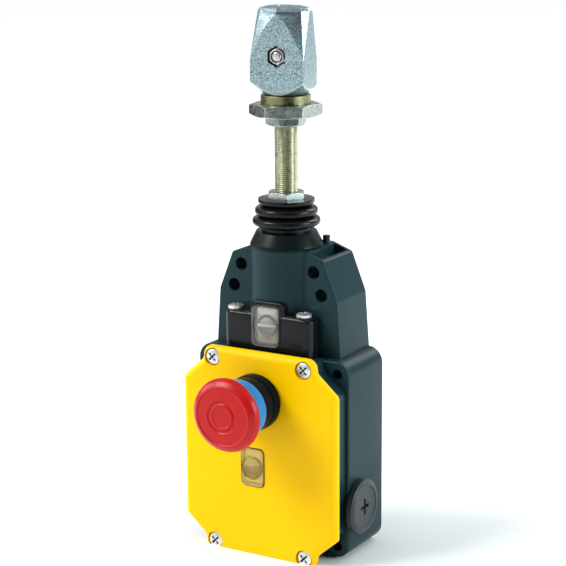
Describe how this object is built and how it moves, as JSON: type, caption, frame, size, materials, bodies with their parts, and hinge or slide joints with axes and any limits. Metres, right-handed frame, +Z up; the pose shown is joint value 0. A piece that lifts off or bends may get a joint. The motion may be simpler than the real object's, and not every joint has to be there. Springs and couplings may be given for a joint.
{
  "type": "limit switch",
  "caption": "Rope-pull emergency-stop switch: boxed housing with spring tower, threaded pull rod, swivelling rope clamp and a red mushroom button on its cover.",
  "frame": {"origin": "middle of the housing's back (mounting) face", "axes": "+Z up along the pull rod, +Y into the mounting surface, so the cover faces -Y"},
  "size_m": [0.0992, 0.085, 0.2813],
  "materials": {
    "housing": "black powder-coated die-cast metal",
    "cover_gasket": "black moulded rubber",
    "cover": "yellow moulded plastic",
    "cover_screws": "zinc-plated steel",
    "cover_window": "clear moulded plastic",
    "cover_indicator": "pale grey plastic",
    "window_block": "black glass-filled plastic",
    "window_block_screws": "zinc-plated steel",
    "tower_window": "clear moulded plastic",
    "tower_indicator": "pale grey plastic",
    "side_entry_plugs": "black moulded plastic",
    "entry_plug_seals": "black rubber",
    "guide_bush": "sintered bronze",
    "tower_cap": "black coated metal",
    "bellows": "black moulded rubber",
    "main_spring": "spring steel",
    "spring_plate": "zinc-plated steel",
    "plate_nut": "zinc-plated steel",
    "pull_rod": "yellow zinc-plated steel",
    "cam_sleeve": "natural acetal",
    "cam_circlip": "phosphated spring steel",
    "cam_followers": "ground steel pins",
    "lower_jam_nut": "zinc-plated steel",
    "upper_jam_nut": "zinc-plated steel",
    "tension_nut": "zinc-plated steel",
    "swivel_collar": "yellow zinc-plated steel",
    "collar_circlip": "phosphated spring steel",
    "clamp_head": "sand-textured zinc die casting",
    "rope_wedge": "hardened steel",
    "clamp_bolt": "zinc-plated steel",
    "clamp_nut": "zinc-plated steel",
    "estop_seal": "black rubber",
    "estop_collar": "black moulded plastic",
    "estop_lock_nut": "grey moulded plastic",
    "estop_ring": "blue moulded plastic",
    "estop_spring": "spring steel",
    "estop_mushroom": "red moulded plastic",
    "estop_stem": "black acetal",
    "estop_crossbar": "white glass-filled plastic",
    "switch_blocks": "dark blue thermoset",
    "block_screws": "zinc-plated steel",
    "contact_plungers": "white acetal",
    "contact_bridges": "silver-tipped brass",
    "fixed_contacts": "silver-tipped brass",
    "terminal_screws": "zinc-plated steel",
    "earth_screw": "brass"
  },
  "bodies": {
    "root": {"housing": "housing", "cover_gasket": "cover_gasket", "cover": "cover", "cover_screws": "cover_screws", "cover_window": "cover_window", "cover_indicator": "cover_indicator", "window_block": "window_block", "window_block_screws": "window_block_screws", "tower_window": "tower_window", "tower_indicator": "tower_indicator", "side_entry_plugs": "side_entry_plugs", "entry_plug_seals": "entry_plug_seals", "guide_bush": "guide_bush", "tower_cap": "tower_cap", "bellows": "bellows", "main_spring": "main_spring", "cam_followers": "cam_followers", "estop_seal": "estop_seal", "estop_collar": "estop_collar", "estop_lock_nut": "estop_lock_nut", "estop_ring": "estop_ring", "estop_spring": "estop_spring", "switch_blocks": "switch_blocks", "block_screws": "block_screws", "fixed_contacts": "fixed_contacts", "terminal_screws": "terminal_screws", "earth_screw": "earth_screw"},
    "pull_rod": {"pull_rod": "pull_rod", "spring_plate": "spring_plate", "plate_nut": "plate_nut", "cam_sleeve": "cam_sleeve", "cam_circlip": "cam_circlip", "lower_jam_nut": "lower_jam_nut"},
    "head_collar": {"swivel_collar": "swivel_collar", "collar_circlip": "collar_circlip"},
    "tension_nut": {"tension_nut": "tension_nut", "upper_jam_nut": "upper_jam_nut"},
    "clamp_head": {"clamp_head": "clamp_head", "clamp_bolt": "clamp_bolt", "clamp_nut": "clamp_nut"},
    "rope_wedge": {"rope_wedge": "rope_wedge"},
    "estop_button": {"estop_mushroom": "estop_mushroom", "estop_stem": "estop_stem", "estop_crossbar": "estop_crossbar"},
    "contact_plungers": {"contact_plungers": "contact_plungers", "contact_bridges": "contact_bridges"}
  },
  "joints": [
    {"name": "rod_pull", "type": "slide", "parent": "root", "child": "pull_rod", "axis": [0, 0, 1], "range_m": [0, 0.014], "stiffness_N_per_m": 5000, "springref_m": -0.01, "deforming": ["bellows", "main_spring"]},
    {"name": "tension_slide", "type": "slide", "parent": "pull_rod", "child": "head_collar", "axis": [0, 0, 1], "range_m": [-0.01, 0]},
    {"name": "tension_turn", "type": "hinge", "parent": "head_collar", "child": "tension_nut", "pos_m": [0, -0.0207, 0.1745], "axis": [0, 0, 1], "range_deg": [-3600, 0]},
    {"name": "clamp_swivel", "type": "hinge", "parent": "head_collar", "child": "clamp_head", "pos_m": [0, -0.0207, 0.19], "axis": [0, 0, 1], "continuous": true},
    {"name": "wedge_slide", "type": "slide", "parent": "clamp_head", "child": "rope_wedge", "axis": [0, 0, 1], "range_m": [0, 0.0035]},
    {"name": "estop_press", "type": "slide", "parent": "root", "child": "estop_button", "axis": [0, 1, 0], "range_m": [0, 0.005], "deforming": ["estop_spring"]},
    {"name": "contact_slide", "type": "slide", "parent": "root", "child": "contact_plungers", "axis": [0, 1, 0], "range_m": [0, 0.005]}
  ],
  "couplings": [
    {"joint": "tension_slide", "follows": "tension_turn", "m_per_rad": 0.000159},
    {"joint": "contact_slide", "follows": "estop_press", "ratio": 1}
  ]
}
